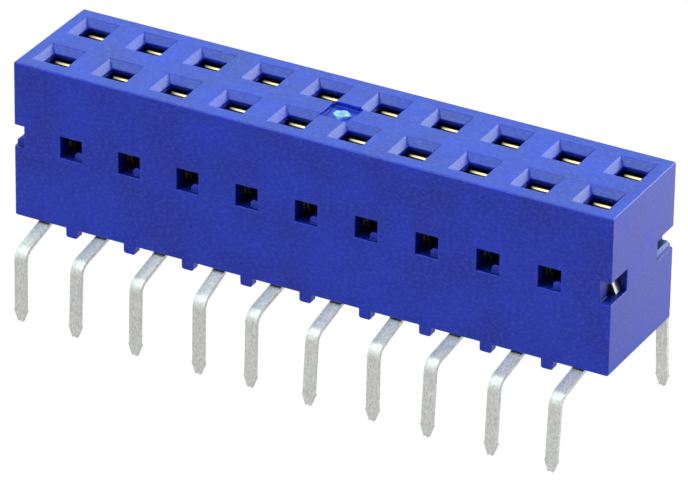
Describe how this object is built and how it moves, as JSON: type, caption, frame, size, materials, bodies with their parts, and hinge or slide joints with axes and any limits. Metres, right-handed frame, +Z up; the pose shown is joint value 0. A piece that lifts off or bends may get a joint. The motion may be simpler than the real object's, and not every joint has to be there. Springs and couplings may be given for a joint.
{
  "type": "female pin header strip",
  "caption": "Vertical socket strip for square pins: a blue moulded housing holds formed metal contacts whose tails bend outwards under it and then down.",
  "frame": {"origin": "middle of the housing's underside, on the rib between the two rows of cells", "axes": "+X along the strip, +Y across the rows towards the rear row, +Z up out of the mating face"},
  "size_m": [0.0254, 0.0089, 0.0105],
  "materials": {
    "housing_plastic": "moulded thermoplastic, satin to semi-gloss, bright blue",
    "contact_metal": "phosphor bronze strip, matt tin on the tails, gold on the spring beams"
  },
  "bodies": {
    "root": {"housing": "housing_plastic", "contact_front_01": "contact_metal", "contact_front_02": "contact_metal", "contact_front_03": "contact_metal", "contact_front_04": "contact_metal", "contact_front_05": "contact_metal", "contact_front_06": "contact_metal", "contact_front_07": "contact_metal", "contact_front_08": "contact_metal", "contact_front_09": "contact_metal", "contact_front_10": "contact_metal", "contact_rear_01": "contact_metal", "contact_rear_02": "contact_metal", "contact_rear_03": "contact_metal", "contact_rear_04": "contact_metal", "contact_rear_05": "contact_metal", "contact_rear_06": "contact_metal", "contact_rear_07": "contact_metal", "contact_rear_08": "contact_metal", "contact_rear_09": "contact_metal", "contact_rear_10": "contact_metal"}
  },
  "joints": []
}
